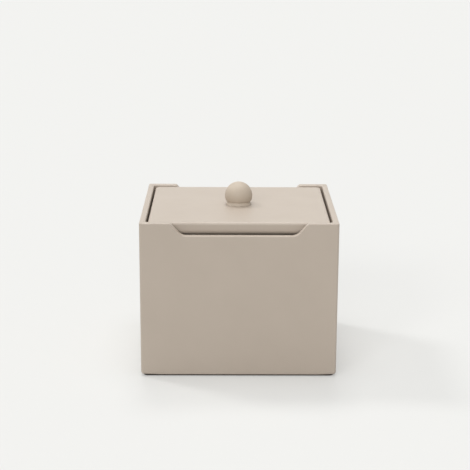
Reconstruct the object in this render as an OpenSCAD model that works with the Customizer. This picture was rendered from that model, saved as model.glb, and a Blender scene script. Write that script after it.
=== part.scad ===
// Cotton swab box: a leather-wrapped board box with a lift-off lid and a ball knob.
// Millimetres, +Z up, front towards -Y, origin under the middle of the footprint.

/* [Box] */
// Outside width of the wrapped box
box_w = 120; // [100:1:180]
// Outside depth of the wrapped box, front to back
box_d = 108; // [90:1:160]
// Height of the wrapped box, from its underside to the rim
box_h = 96; // [60:1:150]
// Radius of the upright outside edges
edge_r = 1.5; // [0.9:0.1:4]
// Radius of the roll along the bottom edges
foot_r = 1.2; // [1:0.1:4]
// Radius of the upright corners inside the rim
rim_corner_r = 2.5; // [1:0.1:6]

/* [Boards and leather] */
// Thickness of the front and rear wall boards
long_board_t = 3; // [1.5:0.1:6]
// Thickness of the left and right wall boards
short_board_t = 2.2; // [1.5:0.1:5]
// Thickness of the floor board
floor_t = 3; // [2:0.1:6]
// Thickness of the leather
leather_t = 0.7; // [0.4:0.1:1.1]
// Width of the leather turned under the box and under the lid
turn_under = 12; // [8:0.5:20]

/* [Finger scoops] */
// Width of the front and rear scoops at the rim
scoop_w = 83; // [40:1:88]
// Depth of the scoops below the rim
scoop_depth = 7.7; // [4:0.1:9]
// Slope of the scoop ends, in degrees from level
scoop_slope = 48; // [30:1:70]
// Radius where a scoop's floor meets its sloping ends
scoop_r = 6; // [1:0.1:7]

/* [Lining] */
// Thickness of the lining panels, whose top edges carry the lid
lining_t = 6; // [5.5:0.1:8]
// Thickness of the floor lining
floor_lining_t = 1.5; // [0.5:0.1:4]

/* [Lid] */
// Gap between the lid and the walls round it
lid_gap = 1.2; // [0.3:0.1:1.8]
// Overall thickness of the wrapped lid
lid_t = 7.9; // [6.5:0.1:16]
// Depth of the lid's top below the rim
lid_drop = 0.7; // [0:0.1:4]
// Radius of the lid's upright corners
lid_corner_r = 3; // [1.5:0.1:8]
// Radius of the roll along the lid's top edges
lid_roll_r = 1.5; // [1.2:0.1:3]
// Radius of the roll along the lid's lower edges
lid_foot_r = 3; // [1.2:0.1:3]

/* [Knob] */
// Diameter of the ball
ball_d = 17.4; // [15:0.1:30]
// Distance from the ball's centre down to its flat seat
ball_seat = 3.4; // [3:0.1:6]
// Diameter of the collar under the ball, at its foot
collar_d = 15.8; // [10:0.1:17]
// Diameter of the collar's top, which the ball sits on
collar_top_d = 14.4; // [9:0.1:15.8]
// Height of the collar
collar_h = 2.2; // [1:0.1:8]

/* [Knob fixing] */
// Thread diameter of the knob screw
screw_d = 4; // [3:0.1:5]
// Diameter of the screw head
head_d = 8; // [6:0.1:9]
// Height of the screw head
head_h = 2.6; // [1.8:0.1:3.5]
// Height of the dome on the screw head
head_dome = 1.2; // [0.5:0.1:1.6]
// Width of a slot of the cross drive
drive_w = 1; // [0.6:0.1:1.5]
// Length of a slot of the cross drive
drive_l = 4.4; // [3:0.1:5]
// Depth of the cross drive
drive_depth = 1.3; // [0.8:0.1:1.6]
// Diameter of the washer
washer_d = 9; // [8.5:0.1:12]
// Thickness of the washer
washer_t = 0.8; // [0.5:0.1:1.5]
// Depth of the screw head inside the lid's underside
head_sink = 0.6; // [0.2:0.1:1.5]
// Outside diameter of the threaded insert
insert_d = 6; // [5.6:0.1:8]
// Length of the threaded insert
insert_l = 7; // [5:0.1:9]

/* [Base pad] */
// Thickness of the felt pad that the box stands on
pad_t = 1; // [0.5:0.1:3]
// Distance from the outside of the box in to the pad's edge
pad_inset = 1.5; // [1:0.1:7]
// Radius of the pad's corners
pad_r = 2.5; // [1:0.5:20]

/* [Clearances] */
// Room round the screw's shank in the lid, the collar and the washer
shank_gap = 0.2; // [0.1:0.05:0.5]
// Room round the washer in its recess
recess_gap = 0.5; // [0.2:0.1:1]
// Room round the insert and in its thread
thread_gap = 0.05; // [0.02:0.01:0.1]
// Room past the end of the screw, and past the end of the insert
tip_gap = 0.8; // [0.3:0.1:1.5]

/* [Hidden] */

$fn = 96;
through = 1;

leather_colour = "#b8ab9e";
lacquer_colour = "#b9ab9a";
board_colour = "#c2a57c";
card_colour = "#8f8578";
suede_colour = "#2e2824";
felt_colour = "#2b2522";
brass_colour = "#c9a44c";
steel_colour = "#c6c8ca";

// Levels, upwards from the surface that the pad stands on
wrap_z = pad_t;
rim_z = wrap_z + box_h;
floor_z = wrap_z + leather_t;
floor_top_z = floor_z + floor_t;
lid_top_z = rim_z - lid_drop;
ledge_z = lid_top_z - lid_t;
seat_z = lid_top_z + collar_h;

// Plan sizes, from the outside inwards
bay_w = box_w - 2 * (leather_t + short_board_t);
bay_d = box_d - 2 * (leather_t + long_board_t);
rim_w = bay_w - 2 * leather_t;
rim_d = bay_d - 2 * leather_t;
lid_w = rim_w - 2 * lid_gap;
lid_d = rim_d - 2 * lid_gap;
room_w = bay_w - 2 * lining_t;
room_d = bay_d - 2 * lining_t;

// The knob's fixing, upwards from the lid's underside
recess_d = washer_d + 2 * recess_gap;
recess_h = head_sink + head_h + washer_t;
washer_z = ledge_z + head_sink + head_h;
shank_hole_d = screw_d + 2 * shank_gap;
tip_z = seat_z + insert_l - tip_gap;

// A rectangle with round corners, about the origin
module soft_outline(w, d, r) {
    square([w - 2 * r, d], center = true);
    square([w, d - 2 * r], center = true);
    for (sx = [-1, 1], sy = [-1, 1])
        translate([sx * (w / 2 - r), sy * (d / 2 - r)])
            circle(r);
}

// An upright rectangle on the axis, with its two lower corners rounded, and its upper ones unless high_r is 0
module rolled_outline(w, h, low_r, high_r) {
    translate([-w / 2, low_r])
        square([w, h - low_r - high_r]);
    translate([low_r - w / 2, 0])
        square([w - 2 * low_r, h - high_r]);
    for (side = [-1, 1])
        translate([side * (w / 2 - low_r), low_r])
            circle(low_r);
    if (high_r > 0) {
        translate([high_r - w / 2, low_r])
            square([w - 2 * high_r, h - low_r]);
        for (side = [-1, 1])
            translate([side * (w / 2 - high_r), h - high_r])
                circle(high_r);
    }
}

// A block with round upright edges and rolled lower and upper edges, standing on z = 0
module soft_block(w, d, h, upright_r, low_r, high_r) {
    intersection() {
        linear_extrude(h)
            soft_outline(w, d, upright_r);
        rotate([90, 0, 0])
            linear_extrude(d + 2 * through, center = true)
                rolled_outline(w, h, low_r, high_r);
        rotate([90, 0, 90])
            linear_extrude(w + 2 * through, center = true)
                rolled_outline(d, h, low_r, high_r);
    }
}

// A plain upright block on the axis between two levels
module slab(w, d, low, high) {
    translate([-w / 2, -d / 2, low])
        cube([w, d, high - low]);
}

// The outline of a finger scoop, its rim line at y = 0, grown outwards all round
module scoop_outline(grow) {
    depth = scoop_depth + grow;
    r = scoop_r + grow;
    rim_half = scoop_w / 2 + grow / sin(scoop_slope);
    toe_half = rim_half - depth / tan(scoop_slope);
    reach = r * tan(scoop_slope / 2);
    brow_half = rim_half + through / tan(scoop_slope);
    side = [
        [toe_half - reach, -depth],
        [toe_half + reach * cos(scoop_slope), reach * sin(scoop_slope) - depth],
        [brow_half, through],
    ];
    polygon(concat(side, [for (i = [len(side) - 1:-1:0]) [-side[i].x, side[i].y]]));
    for (s = [-1, 1])
        translate([s * (toe_half - reach), r - depth])
            circle(r);
}

// Cuts the front and rear scoops at once, since the box is hollow between them
module scoop_cut(grow) {
    translate([0, 0, rim_z])
        rotate([90, 0, 0])
            linear_extrude(box_d + 2 * through, center = true)
                scoop_outline(grow);
}

// The four wall boards as one ring, just under the leather
module board_ring() {
    difference() {
        translate([0, 0, floor_z])
            soft_block(box_w - 2 * leather_t, box_d - 2 * leather_t, box_h - 2 * leather_t,
                       edge_r - leather_t, foot_r - leather_t, 0);
        slab(bay_w, bay_d, floor_z - through, rim_z + through);
        scoop_cut(leather_t);
    }
}

// The front board, or the rear one at side = 1, which runs the full width
module long_board(side) {
    intersection() {
        board_ring();
        translate([0, side * (bay_d + long_board_t) / 2, 0])
            slab(box_w, long_board_t, floor_z, rim_z);
    }
}

// The left board, or the right one at side = 1, which fits between the long boards
module short_board(side) {
    intersection() {
        board_ring();
        translate([side * (bay_w + short_board_t) / 2, 0, 0])
            slab(short_board_t, bay_d, floor_z, rim_z);
    }
}

module front_board() color(board_colour) long_board(-1);
module rear_board() color(board_colour) long_board(1);
module left_board() color(board_colour) short_board(-1);
module right_board() color(board_colour) short_board(1);

module floor_board() color(board_colour) slab(bay_w, bay_d, floor_z, floor_top_z);

// One skin outside the boards, turned in over the rim to the ledge and turned under the floor
module body_wrap() {
    color(leather_colour)
        difference() {
            translate([0, 0, wrap_z])
                soft_block(box_w, box_d, box_h, edge_r, foot_r, 0);
            board_ring();
            slab(bay_w, bay_d, floor_z, ledge_z);
            translate([0, 0, ledge_z])
                linear_extrude(box_h)
                    soft_outline(rim_w, rim_d, rim_corner_r);
            slab(box_w - 2 * turn_under, box_d - 2 * turn_under, wrap_z - through, floor_top_z);
            scoop_cut(0);
        }
}

// The card that levels the underside inside the turned-under leather
module base_card() {
    color(card_colour)
        slab(box_w - 2 * turn_under, box_d - 2 * turn_under, wrap_z, floor_z);
}

module base_pad() {
    color(felt_colour)
        linear_extrude(pad_t)
            soft_outline(box_w - 2 * pad_inset, box_d - 2 * pad_inset, pad_r);
}

// The front lining panel, or the rear one at side = 1
module long_lining(side) {
    translate([0, side * (room_d + lining_t) / 2, 0])
        slab(bay_w, lining_t, floor_top_z, ledge_z);
}

// The left lining panel, or the right one at side = 1
module short_lining(side) {
    translate([side * (room_w + lining_t) / 2, 0, 0])
        slab(lining_t, room_d, floor_top_z, ledge_z);
}

module front_lining() color(suede_colour) long_lining(-1);
module rear_lining() color(suede_colour) long_lining(1);
module left_lining() color(suede_colour) short_lining(-1);
module right_lining() color(suede_colour) short_lining(1);

module floor_lining() {
    color(suede_colour)
        slab(room_w, room_d, floor_top_z, floor_top_z + floor_lining_t);
}

// The lid's outer form, or its board's at inset = leather_t
module lid_form(inset) {
    translate([0, 0, ledge_z + inset])
        soft_block(lid_w - 2 * inset, lid_d - 2 * inset, lid_t - 2 * inset,
                   lid_corner_r - inset, lid_foot_r - inset, lid_roll_r - inset);
}

// The hole for the screw's shank, and the recess for its head and washer
module shank_hole() {
    translate([0, 0, ledge_z - through])
        cylinder(h = lid_t + 2 * through, d = shank_hole_d);
}

module head_recess() {
    translate([0, 0, ledge_z - through])
        cylinder(h = recess_h + through, d = recess_d);
}

module lid_board() {
    color(board_colour)
        difference() {
            lid_form(leather_t);
            shank_hole();
            head_recess();
        }
}

module lid_wrap() {
    color(leather_colour)
        difference() {
            lid_form(0);
            lid_form(leather_t);
            slab(lid_w - 2 * turn_under, lid_d - 2 * turn_under,
                 ledge_z - through, ledge_z + lid_t / 2);
            shank_hole();
        }
}

module lid_lining() {
    color(suede_colour)
        difference() {
            slab(lid_w - 2 * turn_under, lid_d - 2 * turn_under, ledge_z, ledge_z + leather_t);
            head_recess();
        }
}

module knob_collar() {
    color(lacquer_colour)
        translate([0, 0, lid_top_z])
            difference() {
                cylinder(h = collar_h, d1 = collar_d, d2 = collar_top_d);
                translate([0, 0, -through])
                    cylinder(h = collar_h + 2 * through, d = shank_hole_d);
            }
}

// A ball cut flat where it sits on its collar, bored for the insert
module knob_ball() {
    color(lacquer_colour)
        translate([0, 0, seat_z])
            difference() {
                intersection() {
                    translate([0, 0, ball_seat])
                        sphere(d = ball_d);
                    cylinder(h = 2 * ball_d, d = 2 * ball_d);
                }
                translate([0, 0, -through])
                    cylinder(h = through + insert_l + tip_gap, d = insert_d + 2 * thread_gap);
            }
}

module knob_insert() {
    color(brass_colour)
        translate([0, 0, seat_z])
            difference() {
                cylinder(h = insert_l, d = insert_d);
                translate([0, 0, -through])
                    cylinder(h = insert_l + 2 * through, d = screw_d + 2 * thread_gap);
            }
}

// A pan-head screw with a domed head, driven from inside the lid
module knob_screw() {
    dome_r = (pow(head_d / 2, 2) + pow(head_dome, 2)) / (2 * head_dome);
    color(steel_colour)
        difference() {
            union() {
                translate([0, 0, ledge_z + head_sink])
                    intersection() {
                        cylinder(h = head_h, d = head_d);
                        translate([0, 0, dome_r])
                            sphere(dome_r);
                    }
                translate([0, 0, washer_z])
                    cylinder(h = tip_z - washer_z, d = screw_d);
            }
            for (turn = [0, 90])
                translate([0, 0, ledge_z + head_sink])
                    rotate(turn)
                        cube([drive_l, drive_w, 2 * drive_depth], center = true);
        }
}

module knob_washer() {
    color(steel_colour)
        translate([0, 0, washer_z])
            difference() {
                cylinder(h = washer_t, d = washer_d);
                translate([0, 0, -through])
                    cylinder(h = washer_t + 2 * through, d = shank_hole_d);
            }
}

front_board();
rear_board();
left_board();
right_board();
floor_board();
body_wrap();
base_card();
base_pad();
front_lining();
rear_lining();
left_lining();
right_lining();
floor_lining();
lid_board();
lid_wrap();
lid_lining();
knob_collar();
knob_ball();
knob_insert();
knob_screw();
knob_washer();
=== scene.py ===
import math

import bmesh
import bpy
from mathutils import Matrix, Vector


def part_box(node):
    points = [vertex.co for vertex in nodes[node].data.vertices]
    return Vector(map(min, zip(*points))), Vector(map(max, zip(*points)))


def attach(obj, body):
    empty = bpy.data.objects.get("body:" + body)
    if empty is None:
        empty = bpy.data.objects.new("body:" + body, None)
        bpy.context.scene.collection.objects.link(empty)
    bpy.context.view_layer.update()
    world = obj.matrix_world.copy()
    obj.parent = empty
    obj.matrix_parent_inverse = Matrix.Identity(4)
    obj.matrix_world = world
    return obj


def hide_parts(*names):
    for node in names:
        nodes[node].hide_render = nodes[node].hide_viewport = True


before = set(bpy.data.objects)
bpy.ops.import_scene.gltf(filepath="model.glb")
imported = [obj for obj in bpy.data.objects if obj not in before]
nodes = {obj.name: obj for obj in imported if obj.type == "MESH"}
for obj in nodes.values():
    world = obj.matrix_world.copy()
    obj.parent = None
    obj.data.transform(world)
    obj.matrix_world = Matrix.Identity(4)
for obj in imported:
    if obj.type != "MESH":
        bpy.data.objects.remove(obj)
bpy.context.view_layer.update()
mm = 0.001
print("frame loaded with", len(nodes), "nodes")

# sizes that several pieces share, read from the frame
wrapLow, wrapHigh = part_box("body_wrap")
frontLow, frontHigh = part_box("front_board")
leftLow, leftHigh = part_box("left_board")
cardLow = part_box("base_card")[0]
lidLow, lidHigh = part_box("lid_wrap")
screwLow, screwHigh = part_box("knob_screw")
boxWidth = wrapHigh.x - wrapLow.x
boxDepth = wrapHigh.y - wrapLow.y
hide = frontLow.y - wrapLow.y  # thickness of the leather
wallX = leftHigh.x - leftLow.x + 2 * hide  # the side walls, then the front and rear ones
wallY = frontHigh.y - frontLow.y + 2 * hide
turnUnder = cardLow.x - wrapLow.x
ledge = lidLow.z
shankGap = 0.2 * mm
shankHole = (screwHigh.x - screwLow.x) / 4 + shankGap  # a pan head is twice as wide as its shank

tightest = 0.15 * mm  # the least corner that a loop is drawn with
arcSteps = 8
guard = 0.4 * mm  # distance of a holding row from the roll that it guards
hair = 0.001 * mm  # points nearer than this are the same
creaseAngle = math.radians(38)  # faces that meet at more than this show an edge


def linearColour(hexText):
    shades = [int(hexText[i:i + 2], 16) / 255 for i in (1, 3, 5)]
    return [s / 12.92 if s <= 0.04045 else ((s + 0.055) / 1.055) ** 2.4 for s in shades] + [1]


def addNode(tree, kind, inputs=None, **settings):
    node = tree.nodes.new(kind)
    for name, value in settings.items():
        setattr(node, name, value)
    for name, value in (inputs or {}).items():
        if isinstance(value, bpy.types.NodeSocket):
            tree.links.new(value, node.inputs[name])
        else:
            node.inputs[name].default_value = value
    return node


def startMaterial(name):
    material = bpy.data.materials.new(name)
    material.use_nodes = True
    material.node_tree.nodes.clear()
    place = addNode(material.node_tree, "ShaderNodeTexCoord").outputs["Object"]
    return material, material.node_tree, place


def perMetre(sizeMm):
    return 1 / (sizeMm * mm)  # texture scale at which one feature is this many millimetres


# Materials

leatherLook = {
    "tone": "#b2a597",
    "deepTone": "#ac9f91",
    "foldTone": "#bbafa2",
    "foldShare": 0.15,
    "mottleMm": 26,
    "grainMm": 1.0,  # real nappa has 0.3 to 0.5 mm grain, too fine to show, so it is drawn coarser
    "grainDrift": 0.0006,  # how far the grain's cells are pulled out of line
    "poreMm": 0.35,
    "poreShare": 0.35,
    "relief": 0.035 * mm,
    "bump": 0.35,
    "roughLow": 0.52,
    "roughHigh": 0.6,
    "topcoat": 0.75,
    "topcoatRoughness": 0.5,
}


def finishedNappaLeather():
    # chrome-tanned nappa, ironed and sprayed with a satin finish: an even taupe, a low wide shine at
    # grazing angles, grain that only shows close by, and a slightly paler line where it is folded
    look = leatherLook
    material, tree, place = startMaterial("nappa leather, ironed and satin finished")
    mottle = addNode(tree, "ShaderNodeTexNoise", {
        "Vector": place, "Scale": perMetre(look["mottleMm"]), "Detail": 4, "Roughness": 0.55})
    body = addNode(tree, "ShaderNodeMix", {
        0: mottle.outputs["Fac"], 6: linearColour(look["tone"]), 7: linearColour(look["deepTone"])},
        data_type="RGBA")
    fold = addNode(tree, "ShaderNodeAttribute", attribute_name="fold")
    foldShare = addNode(tree, "ShaderNodeMath", {
        0: fold.outputs["Fac"], 1: look["foldShare"]}, operation="MULTIPLY")
    colour = addNode(tree, "ShaderNodeMix", {
        0: foldShare.outputs[0], 6: body.outputs[2], 7: linearColour(look["foldTone"])},
        data_type="RGBA")
    drift = addNode(tree, "ShaderNodeTexNoise", {
        "Vector": place, "Scale": perMetre(look["grainMm"] * 2), "Detail": 2})
    bent = addNode(tree, "ShaderNodeMix", {
        0: look["grainDrift"], 4: place, 5: drift.outputs["Color"]}, data_type="VECTOR")
    grain = addNode(tree, "ShaderNodeTexVoronoi", {
        "Vector": bent.outputs[1], "Scale": perMetre(look["grainMm"])}, feature="SMOOTH_F1")
    pores = addNode(tree, "ShaderNodeTexNoise", {
        "Vector": place, "Scale": perMetre(look["poreMm"]), "Detail": 2})
    height = addNode(tree, "ShaderNodeMath", {
        0: pores.outputs["Fac"], 1: look["poreShare"], 2: grain.outputs["Distance"]},
        operation="MULTIPLY_ADD")
    bump = addNode(tree, "ShaderNodeBump", {
        "Strength": look["bump"], "Distance": look["relief"], "Height": height.outputs[0]}, invert=True)
    rough = addNode(tree, "ShaderNodeMapRange", {
        "Value": mottle.outputs["Fac"], "From Min": 0.3, "From Max": 0.7,
        "To Min": look["roughLow"], "To Max": look["roughHigh"]})
    shader = addNode(tree, "ShaderNodeBsdfPrincipled", {
        "Base Color": colour.outputs[2], "Roughness": rough.outputs["Result"],
        "Normal": bump.outputs["Normal"], "IOR": 1.5, "Coat Weight": look["topcoat"],
        "Coat Roughness": look["topcoatRoughness"], "Coat IOR": 1.5})
    addNode(tree, "ShaderNodeOutputMaterial", {"Surface": shader.outputs["BSDF"]})
    return material


lacquerLook = {
    "tone": "#beb1a1",
    "deepTone": "#b6a897",
    "grainMm": 2.2,
    "peelMm": 1.4,
    "ringMm": 0.6,  # tool marks are nearer 0.2 mm, drawn coarser so that they show at all
    "ringShare": 0.12,
    "relief": 0.02 * mm,
    "bump": 0.3,
    "roughness": 0.58,
}
collarPaintedLightLook = dict(lacquerLook, tone="#cabdad", deepTone="#c2b4a3")  # the ball's lacquer painted paler: painted light standing in for the light the collar catches


def lacqueredBeech(name, look):
    # beech turned on a lathe and sprayed with pigmented satin lacquer: a soft broad highlight, a faint
    # orange peel, and the ghost of the turning marks under the colour
    material, tree, place = startMaterial(name)
    along = addNode(tree, "ShaderNodeMapping", {"Vector": place, "Scale": (1, 1, 0.15)})
    grain = addNode(tree, "ShaderNodeTexNoise", {
        "Vector": along.outputs["Vector"], "Scale": perMetre(look["grainMm"]), "Detail": 3})
    colour = addNode(tree, "ShaderNodeMix", {
        0: grain.outputs["Fac"], 6: linearColour(look["tone"]), 7: linearColour(look["deepTone"])},
        data_type="RGBA")
    peel = addNode(tree, "ShaderNodeTexNoise", {
        "Vector": place, "Scale": perMetre(look["peelMm"]), "Detail": 1})
    rings = addNode(tree, "ShaderNodeTexWave", {
        "Vector": place, "Scale": perMetre(look["ringMm"]) / 20, "Distortion": 0.6, "Detail": 1},
        wave_type="BANDS", bands_direction="Z")
    height = addNode(tree, "ShaderNodeMath", {
        0: rings.outputs["Fac"], 1: look["ringShare"], 2: peel.outputs["Fac"]}, operation="MULTIPLY_ADD")
    bump = addNode(tree, "ShaderNodeBump", {
        "Strength": look["bump"], "Distance": look["relief"], "Height": height.outputs[0]})
    shader = addNode(tree, "ShaderNodeBsdfPrincipled", {
        "Base Color": colour.outputs[2], "Roughness": look["roughness"],
        "Normal": bump.outputs["Normal"], "IOR": 1.5})
    addNode(tree, "ShaderNodeOutputMaterial", {"Surface": shader.outputs["BSDF"]})
    return material


suedeLook = {
    "tone": "#3c342e",
    "brushedTone": "#2a2420",
    "patchMm": 11,
    "napMm": 0.5,  # the fibres are finer than 0.1 mm, drawn as tufts
    "relief": 0.12 * mm,
    "bump": 0.5,
    "roughness": 0.95,
    "sheen": 0.22,
    "sheenRoughness": 0.45,
    "sheenTone": "#b5a798",
}


def microfibreSuede():
    # split microfibre cloth with a brushed nap: no highlight, a pale sheen at its edges, and patches that
    # turn lighter or darker with the way the nap was last stroked
    look = suedeLook
    material, tree, place = startMaterial("microfibre suede, brushed")
    patch = addNode(tree, "ShaderNodeTexNoise", {
        "Vector": place, "Scale": perMetre(look["patchMm"]), "Detail": 3, "Distortion": 0.8})
    share = addNode(tree, "ShaderNodeMapRange", {
        "Value": patch.outputs["Fac"], "From Min": 0.38, "From Max": 0.62})
    nap = addNode(tree, "ShaderNodeTexNoise", {
        "Vector": place, "Scale": perMetre(look["napMm"]), "Detail": 4, "Roughness": 0.7})
    stroked = addNode(tree, "ShaderNodeMath", {
        0: nap.outputs["Fac"], 1: share.outputs["Result"]}, operation="MULTIPLY")
    colour = addNode(tree, "ShaderNodeMix", {
        0: stroked.outputs[0], 6: linearColour(look["tone"]), 7: linearColour(look["brushedTone"])},
        data_type="RGBA")
    bump = addNode(tree, "ShaderNodeBump", {
        "Strength": look["bump"], "Distance": look["relief"], "Height": nap.outputs["Fac"]})
    shader = addNode(tree, "ShaderNodeBsdfPrincipled", {
        "Base Color": colour.outputs[2], "Roughness": look["roughness"], "Normal": bump.outputs["Normal"],
        "Specular IOR Level": 0.2, "Sheen Weight": look["sheen"],
        "Sheen Roughness": look["sheenRoughness"], "Sheen Tint": linearColour(look["sheenTone"])})
    addNode(tree, "ShaderNodeOutputMaterial", {"Surface": shader.outputs["BSDF"]})
    return material


feltLook = {
    "tone": "#2b2522",
    "fleckTone": "#443c37",
    "fibreMm": 0.6,  # wool fibres are 0.03 mm thick, drawn as the clumps that they felt into
    "relief": 0.15 * mm,
}


def woolFelt():
    # wool pressed and steamed into a dense sheet: dead matt, near black, with slightly paler fibre ends
    look = feltLook
    material, tree, place = startMaterial("wool felt, pressed")
    fibre = addNode(tree, "ShaderNodeTexNoise", {
        "Vector": place, "Scale": perMetre(look["fibreMm"]), "Detail": 5, "Roughness": 0.75,
        "Distortion": 1.5})
    fleck = addNode(tree, "ShaderNodeMapRange", {
        "Value": fibre.outputs["Fac"], "From Min": 0.45, "From Max": 0.75})
    colour = addNode(tree, "ShaderNodeMix", {
        0: fleck.outputs["Result"], 6: linearColour(look["tone"]), 7: linearColour(look["fleckTone"])},
        data_type="RGBA")
    bump = addNode(tree, "ShaderNodeBump", {
        "Strength": 0.6, "Distance": look["relief"], "Height": fibre.outputs["Fac"]})
    shader = addNode(tree, "ShaderNodeBsdfPrincipled", {
        "Base Color": colour.outputs[2], "Roughness": 1.0, "Normal": bump.outputs["Normal"],
        "Specular IOR Level": 0.1, "Sheen Weight": 0.15, "Sheen Roughness": 0.6})
    addNode(tree, "ShaderNodeOutputMaterial", {"Surface": shader.outputs["BSDF"]})
    return material


boardLook = {"tone": "#b99a72", "fibreTone": "#9d7f5a", "fibreMm": 0.8, "relief": 0.03 * mm}
cardLook = {"tone": "#8f8578", "fibreTone": "#756b60", "fibreMm": 1.2, "relief": 0.02 * mm}


def pressedFibre(name, look):
    # fibres pressed flat with resin or starch: matt, with short flecks a shade darker than the rest
    material, tree, place = startMaterial(name)
    flat = addNode(tree, "ShaderNodeMapping", {"Vector": place, "Scale": (1, 0.35, 1)})
    fibre = addNode(tree, "ShaderNodeTexNoise", {
        "Vector": flat.outputs["Vector"], "Scale": perMetre(look["fibreMm"]), "Detail": 5,
        "Roughness": 0.7})
    share = addNode(tree, "ShaderNodeMapRange", {
        "Value": fibre.outputs["Fac"], "From Min": 0.4, "From Max": 0.7})
    colour = addNode(tree, "ShaderNodeMix", {
        0: share.outputs["Result"], 6: linearColour(look["tone"]), 7: linearColour(look["fibreTone"])},
        data_type="RGBA")
    bump = addNode(tree, "ShaderNodeBump", {
        "Strength": 0.4, "Distance": look["relief"], "Height": fibre.outputs["Fac"]})
    shader = addNode(tree, "ShaderNodeBsdfPrincipled", {
        "Base Color": colour.outputs[2], "Roughness": 0.8, "Normal": bump.outputs["Normal"]})
    addNode(tree, "ShaderNodeOutputMaterial", {"Surface": shader.outputs["BSDF"]})
    return material


zincLook = {"tone": "#c3c5c8", "hazeTone": "#a9acb0", "hazeMm": 1.5, "roughLow": 0.24, "roughHigh": 0.42}
brassLook = {"tone": "#c9a650", "hazeTone": "#b08d3e", "hazeMm": 1.0, "roughLow": 0.2, "roughHigh": 0.36}


def platedMetal(name, look):
    # small turned hardware: bright, with the slight haze that plating or handling leaves in patches
    material, tree, place = startMaterial(name)
    haze = addNode(tree, "ShaderNodeTexNoise", {
        "Vector": place, "Scale": perMetre(look["hazeMm"]), "Detail": 3})
    colour = addNode(tree, "ShaderNodeMix", {
        0: haze.outputs["Fac"], 6: linearColour(look["tone"]), 7: linearColour(look["hazeTone"])},
        data_type="RGBA")
    rough = addNode(tree, "ShaderNodeMapRange", {
        "Value": haze.outputs["Fac"], "From Min": 0.3, "From Max": 0.7,
        "To Min": look["roughLow"], "To Max": look["roughHigh"]})
    shader = addNode(tree, "ShaderNodeBsdfPrincipled", {
        "Base Color": colour.outputs[2], "Metallic": 1, "Roughness": rough.outputs["Result"]})
    addNode(tree, "ShaderNodeOutputMaterial", {"Surface": shader.outputs["BSDF"]})
    return material


leather = finishedNappaLeather()
lacquer = lacqueredBeech("turned beech, satin lacquered", lacquerLook)
# the collar's lacquer is the ball's, with painted light: its tone is raised to stand in for the light the
# collar catches
collarLacquerPaintedLight = lacqueredBeech("turned beech, satin lacquer with painted light", collarPaintedLightLook)
suede = microfibreSuede()
felt = woolFelt()
fibreBoard = pressedFibre("fibre board, pressed and sanded", boardLook)
greyCard = pressedFibre("grey card, pressed", cardLook)
zincSteel = platedMetal("steel, zinc plated", zincLook)
brass = platedMetal("brass, turned", brassLook)
print("materials made:", len(bpy.data.materials))


# Mesh tools: every soft piece is a stack of matched loops, skinned with quads

def evenPlaces(count):
    # stations along a straight side, with a holding station beside each end
    def places(half):
        inner = half - guard
        return [-half] + [inner * (2 * i / count - 1) for i in range(count + 1)] + [half]
    return places


def softLoop(width, depth, radius, placesX, placesY):
    # (x, y, bend, run) round a rectangle with round corners: bend is 1 in the middle of a corner, and run
    # is how far a point on a straight side lies from the nearest corner
    radius = max(radius, tightest)
    runX = width / 2 - radius
    runY = depth / 2 - radius
    xs = placesX(runX)
    ys = placesY(runY)
    sides = [
        [(x, -depth / 2, 0, runX - abs(x)) for x in xs],
        [(width / 2, y, 0, runY - abs(y)) for y in ys],
        [(-x, depth / 2, 0, runX - abs(x)) for x in xs],
        [(-width / 2, -y, 0, runY - abs(y)) for y in ys],
    ]
    centres = [(runX, -runY), (runX, runY), (-runX, runY), (-runX, -runY)]
    loop = []
    for quarter, (side, (cx, cy)) in enumerate(zip(sides, centres)):
        loop += side
        for step in range(1, arcSteps):
            share = step / arcSteps
            angle = math.pi / 2 * (quarter - 1 + share)
            bend = math.sin(math.pi * share)
            loop.append((cx + radius * math.cos(angle), cy + radius * math.sin(angle), bend, 0))
    return loop


def roundLoop(like, radius):
    # the same stations as another loop, moved onto a circle
    angles = [math.atan2(y, x) for x, y, bend, run in like]
    return [(radius * math.cos(angle), radius * math.sin(angle)) for angle in angles]


def quarterTurn(steps=arcSteps):
    return [math.pi / 2 * step / steps for step in range(steps + 1)]


def skinMesh(name, loops, ends, folds=None):
    # ends: "joined" closes the last loop to the first, "filled" caps both, "poles" have one point each
    count = len(loops[0])
    points = [point for loop in loops for point in loop]
    faces = []
    for i in range(len(loops) if ends == "joined" else len(loops) - 1):
        a = i * count
        b = (i + 1) % len(loops) * count
        for j in range(count):
            k = (j + 1) % count
            faces.append((a + j, a + k, b + k, b + j))
    if ends == "filled":
        faces.append(tuple(range(count)))
        faces.append(tuple(range(len(points) - count, len(points))))
    mesh = bpy.data.meshes.new(name)
    mesh.from_pydata(points, [], faces)
    if folds:
        mesh.attributes.new("fold", "FLOAT", "POINT").data.foreach_set("value", folds)
    shape = bmesh.new()
    shape.from_mesh(mesh)
    if ends == "poles":
        bmesh.ops.remove_doubles(shape, verts=shape.verts, dist=hair)
    bmesh.ops.recalc_face_normals(shape, faces=shape.faces)
    shape.to_mesh(mesh)
    shape.free()
    mesh.shade_smooth()
    mesh.set_sharp_from_angle(angle=creaseAngle)
    return mesh


def addPiece(name, mesh, material, body, slot, *stoodFor):
    piece = bpy.data.objects.new(name, mesh)
    bpy.context.scene.collection.objects.link(piece)
    mesh.materials.append(material)
    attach(piece, body)
    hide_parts(*stoodFor)
    return piece


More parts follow.
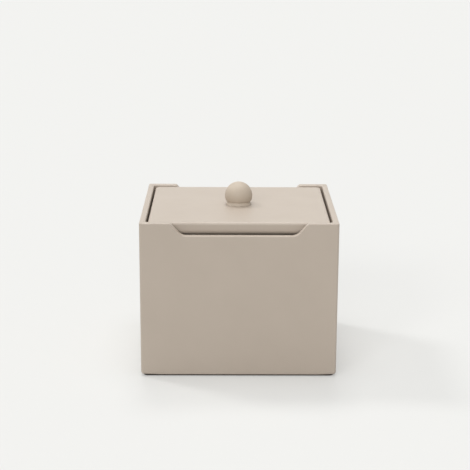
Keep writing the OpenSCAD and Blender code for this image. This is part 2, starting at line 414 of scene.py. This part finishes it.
def leatherSkin(rows, width, depth, placesX, placesY, groove):
    # rows: (inset, corner radius, level, lean), where lean is the way the surface faces, from straight out
    # at 0 to straight up at a right angle; inset may be a pair for x and y, inset and level may change
    # along a wall, and groove gives how far a point is pressed into the leather
    loops = []
    folds = []
    for inset, radius, level, lean in rows:
        corner = inset(0) if callable(inset) else inset
        insetX, insetY = corner if isinstance(corner, tuple) else (corner, corner)
        halfDepth = depth / 2 - insetY
        loop = []
        for x, y, bend, run in softLoop(width - 2 * insetX, 2 * halfDepth, radius, placesX, placesY):
            z = level(x, run) if callable(level) else level
            pressed = groove(x, y, bend, lean)
            z -= pressed * math.sin(lean)
            out = corner - inset(run) if callable(inset) else 0.0
            out -= pressed * math.cos(lean)
            if abs(y) > halfDepth - hair:
                y += out * math.copysign(1, y)
            else:
                x += out * math.copysign(1, x)
            loop.append((x, y, z))
            folds.append(max(abs(math.sin(2 * lean)), bend if abs(lean) < 0.1 else 0))
        loops.append(loop)
    return loops, folds


def onMitre(bend, lean):
    # the middle of a corner, on the part that is turned under
    return bend > 0.99 and lean < -1.5


# Leather skin of the box

bodyLook = {
    "edgeRadius": 1.5 * mm,
    "footRoll": 1.0 * mm,
    "cornerRoll": 1.9 * mm,  # the foot's roll at the upright corners, where the leather is folded under
    "cornerReach": 9 * mm,
    "rimRoll": 0.45 * mm,
    "innerRoll": 0.8 * mm,
    "rimCorner": 2.5 * mm,
    "scoopWidth": 83 * mm,
    "scoopDepth": 7.7 * mm,
    "scoopSlope": math.radians(48),
    "toeRadius": 6.0 * mm,
    "browRadius": 1.5 * mm,
    "keptHalf": 45 * mm,  # stations nearer the middle than this line up on every loop
    "seamPlace": -48 * mm,  # butt seam of the skin, on the rear wall near a corner
    "seamHalf": 0.25 * mm,
    "seamDepth": 0.18 * mm,
    "mitreDepth": 0.15 * mm,
}


def scoopTurns(grow):
    # where a scoop's floor, toe, slope and brow begin, outwards from the middle
    look = bodyLook
    slope = look["scoopSlope"]
    depth = look["scoopDepth"] + grow
    toe = look["toeRadius"] + grow
    brow = max(look["browRadius"] - grow, tightest)
    rimHalf = look["scoopWidth"] / 2 + grow / math.sin(slope)
    toeHalf = rimHalf - depth / math.tan(slope)
    toeReach = toe * math.tan(slope / 2)
    browReach = brow * math.tan(slope / 2)
    return {
        "depth": depth, "toe": toe, "brow": brow, "rimHalf": rimHalf,
        "toeStart": toeHalf - toeReach,
        "slopeStart": toeHalf + toeReach * math.cos(slope),
        "browStart": rimHalf - browReach * math.cos(slope),
        "browEnd": rimHalf + browReach,
    }


def scoopDrop(x, grow=0.0):
    # how far the rim is cut down at x
    turns = scoopTurns(grow)
    out = abs(x)
    if out <= turns["toeStart"]:
        return turns["depth"]
    if out <= turns["slopeStart"]:
        along = out - turns["toeStart"]
        return turns["depth"] - turns["toe"] + math.sqrt(turns["toe"] ** 2 - along ** 2)
    if out <= turns["browStart"]:
        return (turns["rimHalf"] - out) * math.tan(bodyLook["scoopSlope"])
    if out <= turns["browEnd"]:
        along = turns["browEnd"] - out
        return turns["brow"] - math.sqrt(turns["brow"] ** 2 - along ** 2)
    return 0.0


def between(start, end, steps):
    return [start + (end - start) * step / steps for step in range(steps)]


def rimPlaces(half):
    # stations along the front and rear walls: close together in the scoop's bends
    turns = scoopTurns(0.0)
    kept = bodyLook["keptHalf"]
    seam = -bodyLook["seamPlace"]
    seamHalf = bodyLook["seamHalf"]
    right = between(0, turns["toeStart"], 5)
    right += between(turns["toeStart"], turns["slopeStart"], 8)
    right += between(turns["slopeStart"], turns["browStart"], 4)
    right += between(turns["browStart"], turns["browEnd"], 6)
    right += [turns["browEnd"], turns["browEnd"] + guard, kept]
    if half > seam + 4 * seamHalf + guard:
        right += [seam + share * seamHalf for share in (-2.5, -1, 0, 1, 2.5)]
    else:
        right += between(kept, half - guard, 6)[1:]
    right += [half - guard, half]
    return [-x for x in reversed(right[1:])] + right


def bodyGroove(x, y, bend, lean):
    look = bodyLook
    if y > 0 and abs(x - look["seamPlace"]) < 0.1 * look["seamHalf"] and abs(lean) < 0.1:
        return look["seamDepth"]
    return look["mitreDepth"] if onMitre(bend, lean) else 0.0


def footRoll(run):
    look = bodyLook
    share = max(1 - run / look["cornerReach"], 0)
    return look["footRoll"] + (look["cornerRoll"] - look["footRoll"]) * share * share * (3 - 2 * share)


def grainRows():
    # the side that shows: from the turned-under edge, round the foot, up the wall, over the rim and down
    look = bodyLook
    roll = look["rimRoll"]
    inner = look["innerRoll"]
    edge = look["edgeRadius"]
    under = wrapLow.z
    rim = wrapHigh.z
    right = math.pi / 2
    flatFrom = look["cornerRoll"] + guard
    rows = [(inset, tightest, under, -right) for inset in (turnUnder, (turnUnder + flatFrom) / 2, flatFrom)]
    for a in quarterTurn():
        rows.append((
            lambda run, a=a: footRoll(run) * (1 - math.sin(a)),
            edge - look["cornerRoll"] * (1 - math.sin(a)),
            lambda x, run, a=a: under + footRoll(run) * (1 - math.cos(a)),
            a - right))
    for share in (0.005, 0.08, 0.2, 0.35, 0.5, 0.65, 0.8, 0.9, 0.96, 0.995):
        def wallLevel(x, run, share=share):
            foot = under + footRoll(run)
            return foot + share * (rim - scoopDrop(x) - roll - foot)
        rows.append((0, edge, wallLevel, 0))
    for a in quarterTurn(6):
        inset = roll * (1 - math.cos(a))
        rows.append((
            inset, edge - inset, lambda x, run, a=a: rim - scoopDrop(x) - roll * (1 - math.sin(a)), a))
    for share in (0.12, 0.5, 0.88):
        corner = edge - roll + share * (look["rimCorner"] + roll + inner - edge)
        rows.append((
            (roll + share * (wallX - roll - inner), roll + share * (wallY - roll - inner)),
            corner, lambda x, run: rim - scoopDrop(x), right))
    for a in reversed(quarterTurn(6)):
        back = inner * (1 - math.cos(a))
        rows.append((
            (wallX - back, wallY - back), look["rimCorner"] + back,
            lambda x, run, a=a: rim - scoopDrop(x) - inner * (1 - math.sin(a)), math.pi - a))
    for share in (0.06, 0.5, 1):
        rows.append((
            (wallX, wallY), look["rimCorner"],
            lambda x, run, s=share: ledge * s + (rim - scoopDrop(x) - inner) * (1 - s), math.pi))
    return rows


def fleshRows():
    # the side against the boards, from the turned-in edge back to the turned-under one
    look = bodyLook
    under = wrapLow.z
    foot = look["cornerRoll"]
    bend = foot - hide
    corner = look["edgeRadius"] - hide

    def top(x, run):
        return wrapHigh.z - max(hide, scoopDrop(x, hide))

    inside = (wallX - hide, wallY - hide)
    rows = [
        (inside, look["rimCorner"] + hide, ledge, 0),
        (inside, look["rimCorner"] + hide, top, 0),
        (hide, corner, top, 0),
        (hide, corner, under + foot, 0),
    ]
    for a in reversed(quarterTurn(4)[:-1]):
        rows.append((foot - bend * math.sin(a), tightest, under + foot - bend * math.cos(a), 0))
    rows.append((turnUnder, tightest, under + hide, 0))
    return rows


def makeBodySkin():
    rows = grainRows() + fleshRows()
    loops, folds = leatherSkin(rows, boxWidth, boxDepth, rimPlaces, evenPlaces(14), bodyGroove)
    mesh = skinMesh("leather_body", loops, "joined", folds)
    piece = addPiece("leather_body", mesh, leather, "box", "leather", "body_wrap")
    print("box skin:", len(mesh.polygons), "faces")
    return piece


bodySkin = makeBodySkin()


# Leather skin of the lid

lidLook = {
    "corner": 3.0 * mm,
    "topRoll": 1.5 * mm,
    "footRoll": 3.0 * mm,
    "seatRadius": 8.5 * mm,
    "mitreDepth": 0.15 * mm,
}


def lidGroove(x, y, bend, lean):
    return lidLook["mitreDepth"] if onMitre(bend, lean) else 0.0


def makeLidSkin():
    look = lidLook
    corner = look["corner"]
    foot = look["footRoll"]
    roll = look["topRoll"]
    low = lidLow.z
    top = lidHigh.z
    down = -math.pi / 2
    width = lidHigh.x - lidLow.x
    depth = lidHigh.y - lidLow.y
    rows = [(inset, tightest, low, down) for inset in (turnUnder, turnUnder / 2, corner + guard)]
    for a in quarterTurn(5):
        inset = foot * (1 - math.sin(a))
        rows.append((inset, corner - inset, low + foot * (1 - math.cos(a)), a + down))
    side = top - roll - low - foot
    for share in (0.05, 0.35, 0.65, 0.95):
        rows.append((0, corner, low + foot + share * side, 0))
    for a in quarterTurn():
        inset = roll * (1 - math.cos(a))
        rows.append((inset, corner - inset, top - roll * (1 - math.sin(a)), a))
    rows.append((roll + guard, corner - roll - guard, top, -down))
    rows.append((3 * roll, tightest, top, -down))
    placesX = evenPlaces(24)
    placesY = evenPlaces(22)
    loops, folds = leatherSkin(rows, width, depth, placesX, placesY, lidGroove)
    # the top runs in to the screw hole, through it, and back along the flesh side
    like = softLoop(width - 2 * corner, depth - 2 * corner, tightest, placesX, placesY)
    seat = roundLoop(like, look["seatRadius"])
    shank = roundLoop(like, shankHole)
    loops.append([
        ((x + seatX) / 2, (y + seatY) / 2, top)
        for (x, y, bend, run), (seatX, seatY) in zip(like, seat)])
    for ring, level in ((seat, top), (shank, top), (shank, top - hide), (seat, top - hide)):
        loops.append([(x, y, level) for x, y in ring])
    inner = roll - hide
    flesh = [(roll, corner - roll, top - hide, 0)]
    for a in reversed(quarterTurn(4)[:-1]):
        inset = hide + inner * (1 - math.cos(a))
        flesh.append((inset, corner - inset, top - hide - inner * (1 - math.sin(a)), 0))
    bend = foot - hide
    for a in quarterTurn(4):
        inset = hide + bend * (1 - math.cos(a))
        flesh.append((inset, corner - inset, low + foot - bend * math.sin(a), 0))
    flesh.append((turnUnder, tightest, low + hide, 0))
    fleshLoops, fleshFolds = leatherSkin(flesh, width, depth, placesX, placesY, lambda *where: 0.0)
    folds += [0.0] * (sum(len(loop) for loop in loops) - len(folds)) + fleshFolds
    loops += fleshLoops
    mesh = skinMesh("leather_lid", loops, "joined", folds)
    piece = addPiece("leather_lid", mesh, leather, "lid", "leather", "lid_wrap")
    print("lid skin:", len(mesh.polygons), "faces")
    return piece


lidSkin = makeLidSkin()


# Turned knob: ball and collar, spun from their half sections

knobLook = {
    "steps": 72,
    "easeSteps": 8,
    "ballSteps": 28,
    "ballEase": 0.8 * mm,
    "collarTop": 7.2 * mm,  # the collar's radius under the ball; it flares out to its foot
    "collarEase": 0.35 * mm,
    "boreGap": 0.05 * mm,
    "tipGap": 0.8 * mm,
}


def spin(section):
    loops = []
    for radius, level in section:
        turns = [2 * math.pi * i / knobLook["steps"] for i in range(knobLook["steps"])]
        loops.append([(radius * math.cos(t), radius * math.sin(t), level) for t in turns])
    return loops


def easedCorner(before, corner, after, ease):
    # a short curve in place of a section's corner, starting and ending this far from it
    start = corner + (before - corner).normalized() * ease
    end = corner + (after - corner).normalized() * ease
    shares = [step / 5 for step in range(6)]
    return [start * (1 - s) ** 2 + corner * 2 * s * (1 - s) + end * s ** 2 for s in shares]


def makeKnob():
    look = knobLook
    ballLow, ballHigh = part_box("knob_ball")
    collarLow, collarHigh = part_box("knob_collar")
    insertLow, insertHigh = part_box("knob_insert")
    ballRadius = (ballHigh.x - ballLow.x) / 2
    seat = ballLow.z
    centre = ballHigh.z - ballRadius
    ease = look["ballEase"]
    easeHalf = math.sqrt((ballRadius - ease) ** 2 - (centre - seat - ease) ** 2)
    touch = math.atan2(seat + ease - centre, easeHalf)
    bore = (insertHigh.x - insertLow.x) / 2 + look["boreGap"]
    boreTop = insertHigh.z + look["tipGap"]
    section = [(0, boreTop), (bore, boreTop), (bore, seat), (easeHalf - guard, seat)]
    for step in range(look["easeSteps"] + 1):
        a = -math.pi / 2 + (touch + math.pi / 2) * step / look["easeSteps"]
        section.append((easeHalf + ease * math.cos(a), seat + ease * (1 + math.sin(a))))
    for step in range(1, look["ballSteps"] + 1):
        a = touch + (math.pi / 2 - touch) * step / look["ballSteps"]
        section.append((max(ballRadius * math.cos(a), 0), centre + ballRadius * math.sin(a)))
    addPiece("turned_ball", skinMesh("turned_ball", spin(section), "poles"),
             lacquer, "lid", "lacquer", "knob_ball")
    holeLow = Vector((shankHole, collarLow.z))
    foot = Vector((collarHigh.x, collarLow.z))
    top = Vector((look["collarTop"], collarHigh.z))
    holeHigh = Vector((shankHole, collarHigh.z))
    section = [holeLow] + easedCorner(holeLow, foot, top, tightest)
    section += easedCorner(foot, top, holeHigh, look["collarEase"]) + [holeHigh]
    # the collar takes the lacquer with painted light, a paler copy of the ball's
    addPiece("turned_collar", skinMesh("turned_collar", spin(section), "joined"),
             collarLacquerPaintedLight, "lid", "lacquer", "knob_collar")
    print("knob turned,", round(2 * ballRadius / mm, 2), "mm across")


makeKnob()


# Padded panels: suede over thin foam and card, and the felt pad under the box

liningLook = {"roll": 0.8 * mm, "backRoll": 0.3 * mm, "crown": 0.35 * mm, "corner": 0.8 * mm}
floorLook = {"roll": 0.4 * mm, "backRoll": 0.2 * mm, "crown": 0.5 * mm, "corner": 0.4 * mm}
padLook = {"roll": 0.3 * mm, "backRoll": 0.2 * mm, "crown": 0.0, "corner": 2.5 * mm}
crownReach = 0.8  # share of a panel's half width over which its face rises


def panelLoops(width, height, thick, look):
    # from the middle of the back, round the edge, to the middle of a slightly crowned face
    roll = look["roll"]
    back = look["backRoll"]
    reach = crownReach * min(width, height) / 2
    flat = [(reach, 0), (reach / 3, 0)]
    flat += [(back * (1 - math.sin(a)), back * (1 - math.cos(a))) for a in quarterTurn(3)]
    edge = thick - look["crown"]
    flat += [(roll * (1 - math.cos(a)), edge - roll * (1 - math.sin(a))) for a in quarterTurn(6)]
    for share in (0.02, 0.06, 0.13, 0.25, 0.45, 0.7, 1):
        rise = look["crown"] * math.sin(share * math.pi / 2)
        flat.append((roll + share * (reach - roll), edge + rise))
    loops = []
    for inset, level in flat:
        ring = softLoop(width - 2 * inset, height - 2 * inset, look["corner"] - inset,
                        evenPlaces(14), evenPlaces(12))
        loops.append([(x, y, level) for x, y, bend, run in ring])
    return loops


def placeLoops(loops, centre, face, upright):
    # stands a flat panel on its back, with its face and its top turned as asked
    side = upright.cross(face)
    turn = Matrix((side, upright, face)).transposed()
    return [[turn @ Vector(point) + centre for point in loop] for loop in loops]


def makePanel(name, node, face, upright, look, material, slot):
    low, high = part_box(node)
    size = high - low
    thick = abs(size.dot(face))
    height = abs(size.dot(upright))
    width = abs(size.dot(upright.cross(face)))
    centre = (low + high) / 2 - face * thick / 2
    loops = placeLoops(panelLoops(width, height, thick, look), centre, face, upright)
    return addPiece(name, skinMesh(name, loops, "filled"), material, "box", slot, node)


upwards = Vector((0, 0, 1))
rearwards = Vector((0, 1, 0))
rightwards = Vector((1, 0, 0))
panels = [
    ("suede_front", "front_lining", rearwards, upwards, liningLook),
    ("suede_rear", "rear_lining", -rearwards, upwards, liningLook),
    ("suede_left", "left_lining", rightwards, upwards, liningLook),
    ("suede_right", "right_lining", -rightwards, upwards, liningLook),
    ("suede_floor", "floor_lining", upwards, rearwards, floorLook),
]
for name, node, face, upright, look in panels:
    makePanel(name, node, face, upright, look, suede, "suede")
feltPad = makePanel("felt_pad", "base_pad", -upwards, rearwards, padLook, felt, "felt")
print("panels made:", len(panels) + 1)


# Suede under the lid, with the hole that the screw head sits in

underLook = {"ease": 0.2 * mm, "inset": 0.1 * mm, "holeRadius": 5.0 * mm}


def makeLidLining():
    look = underLook
    low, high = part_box("lid_lining")
    ease = look["ease"]
    width = high.x - low.x - 2 * look["inset"]
    depth = high.y - low.y - 2 * look["inset"]
    placesX = evenPlaces(16)
    placesY = evenPlaces(14)
    outer = [(0, high.z)]
    outer += [(ease * (1 - math.cos(a)), low.z + ease * (1 - math.sin(a))) for a in quarterTurn(4)]
    outer.append((ease + guard, low.z))
    loops = []
    for inset, level in outer:
        ring = softLoop(width - 2 * inset, depth - 2 * inset, tightest, placesX, placesY)
        loops.append([(x, y, level) for x, y, bend, run in ring])
    like = softLoop(width, depth, tightest, placesX, placesY)
    for radius, level in ((4 * look["holeRadius"], low.z), (look["holeRadius"] + ease, low.z),
                          (look["holeRadius"], low.z + ease), (look["holeRadius"], high.z)):
        loops.append([(x, y, level) for x, y in roundLoop(like, radius)])
    mesh = skinMesh("suede_lid", loops, "joined")
    return addPiece("suede_lid", mesh, suede, "lid", "suede", "lid_lining")


lidLining = makeLidLining()

# Hidden pieces keep their solids and get their own finish
for node, material in (
    ("front_board", fibreBoard), ("rear_board", fibreBoard), ("left_board", fibreBoard),
    ("right_board", fibreBoard), ("floor_board", fibreBoard), ("lid_board", fibreBoard),
    ("base_card", greyCard), ("knob_insert", brass), ("knob_screw", zincSteel),
    ("knob_washer", zincSteel),
):
    nodes[node].data.materials.clear()
    nodes[node].data.materials.append(material)


# The floor, the light and the camera

stageLook = {
    "floorHalf": 30.0,
    "floorTone": "#d8d8d6",
    "backTone": "#f6f6f3",
    "backShare": 0.3,  # how much of the floor's own shading the white background covers
    "roomLight": 0.40,
}
lampLook = {
    "top": {"along": (0, 0, -1), "strength": 1.2, "spread": 40},
    "key": {"along": (0.85, -0.52, -1.08), "strength": 0.73, "spread": 12},
    "back": {"along": (0.03, -1, -1.83), "strength": 0.62, "spread": 16},
    "cross": {"along": (0.53, 0.85, -0.52), "strength": 0.50, "spread": 16},
    "front": {"along": (0.05, 0.92, -0.4), "strength": 0.70, "spread": 30},
}
cameraLook = {
    "lens": 100.0,
    "sensor": 36.0,
    "place": (-0.00719, -0.80787, 0.29316),
    "pitch": 15.069,
    "yaw": 0.354,
    "roll": 0.237,
}


def seenDirectly(tree):
    # 1 for rays from the camera, or from it by way of a shiny or clear surface
    path = addNode(tree, "ShaderNodeLightPath")
    shiny = addNode(tree, "ShaderNodeMath", {
        0: path.outputs["Is Camera Ray"], 1: path.outputs["Is Glossy Ray"]}, operation="MAXIMUM")
    clear = addNode(tree, "ShaderNodeMath", {
        0: shiny.outputs[0], 1: path.outputs["Is Transmission Ray"]}, operation="MAXIMUM")
    return clear.outputs[0]


def makeFloor():
    look = stageLook
    half = look["floorHalf"]
    mesh = bpy.data.meshes.new("floor")
    corners = [(-half, -half, 0), (half, -half, 0), (half, half, 0), (-half, half, 0)]
    mesh.from_pydata(corners, [], [(0, 1, 2, 3)])
    floor = bpy.data.objects.new("floor", mesh)
    bpy.context.scene.collection.objects.link(floor)
    material, tree, place = startMaterial("pale paper, matt")
    share = addNode(tree, "ShaderNodeMath", {
        0: seenDirectly(tree), 1: look["backShare"]}, operation="MULTIPLY")
    paper = addNode(tree, "ShaderNodeBsdfDiffuse", {"Color": linearColour(look["floorTone"])})
    white = addNode(tree, "ShaderNodeEmission", {"Color": linearColour(look["backTone"])})
    both = addNode(tree, "ShaderNodeMixShader", {
        0: share.outputs[0], 1: paper.outputs["BSDF"], 2: white.outputs["Emission"]})
    addNode(tree, "ShaderNodeOutputMaterial", {"Surface": both.outputs["Shader"]})
    mesh.materials.append(material)


def lightScene():
    look = stageLook
    world = bpy.data.worlds.new("studio")
    bpy.context.scene.world = world
    world.use_nodes = True
    tree = world.node_tree
    tree.nodes.clear()
    room = addNode(tree, "ShaderNodeBackground", {"Color": (1, 1, 1, 1), "Strength": look["roomLight"]})
    white = addNode(tree, "ShaderNodeBackground", {
        "Color": linearColour(look["backTone"]), "Strength": 1})
    both = addNode(tree, "ShaderNodeMixShader", {
        0: seenDirectly(tree), 1: room.outputs["Background"], 2: white.outputs["Background"]})
    addNode(tree, "ShaderNodeOutputWorld", {"Surface": both.outputs["Shader"]})
    for name, ray in lampLook.items():
        lamp = bpy.data.lights.new(name, "SUN")
        lamp.energy = ray["strength"]
        lamp.angle = math.radians(ray["spread"])
        lampObject = bpy.data.objects.new(name, lamp)
        lampObject.rotation_mode = "QUATERNION"
        lampObject.rotation_quaternion = Vector(ray["along"]).to_track_quat("-Z", "Y")
        bpy.context.scene.collection.objects.link(lampObject)


def placeCamera():
    look = cameraLook
    lens = bpy.data.cameras.new("camera")
    lens.lens = look["lens"]
    lens.sensor_width = look["sensor"]
    camera = bpy.data.objects.new("camera", lens)
    turn = Matrix.Rotation(-math.radians(look["yaw"]), 4, "Z")
    tilt = Matrix.Rotation(math.radians(90 - look["pitch"]), 4, "X")
    lean = Matrix.Rotation(math.radians(look["roll"]), 4, "Z")
    camera.matrix_world = Matrix.Translation(look["place"]) @ turn @ tilt @ lean
    bpy.context.scene.collection.objects.link(camera)
    bpy.context.scene.camera = camera


makeFloor()
lightScene()
placeCamera()
bpy.context.scene.view_settings.view_transform = "Standard"
print("floor, lights and camera placed")
